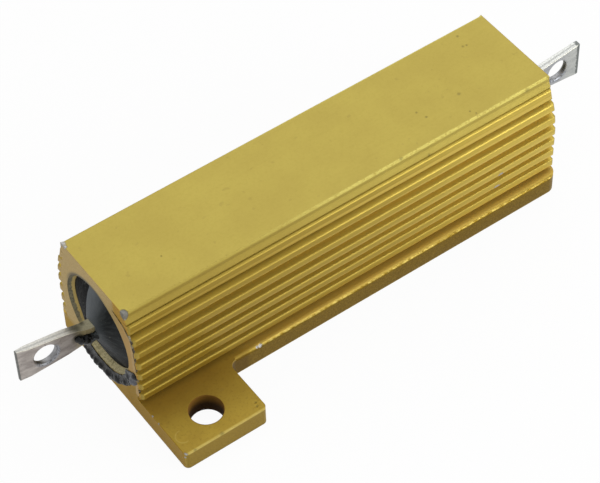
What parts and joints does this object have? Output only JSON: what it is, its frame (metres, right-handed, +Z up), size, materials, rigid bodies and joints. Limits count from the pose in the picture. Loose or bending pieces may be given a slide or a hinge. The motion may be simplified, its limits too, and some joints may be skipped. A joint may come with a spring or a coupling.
{
  "type": "aluminium housed power resistor",
  "caption": "Wirewound power resistor in a fluted, gold anodised aluminium housing with diagonal fixing tabs and flat solder terminals.",
  "frame": {"origin": "centre of the mounting face, under the middle of the body", "axes": "+X along the body towards the far terminal, +Z up from the mounting face to the plain top face"},
  "size_m": [0.0652, 0.0276, 0.0138],
  "materials": {
    "gold_anodised": "satin gold anodised",
    "compound": "dark grey moulded compound",
    "ceramic": "matt white ceramic",
    "resistance_wire": "bare alloy wire",
    "plated_steel": "plated",
    "tinned": "tinned, slightly dull"
  },
  "bodies": {
    "root": {"housing": "gold_anodised", "moulding": "compound", "ceramic_core": "ceramic", "resistance_winding": "resistance_wire", "end_cap_near": "plated_steel", "end_cap_far": "plated_steel", "terminal_near": "tinned", "terminal_far": "tinned"}
  },
  "joints": []
}
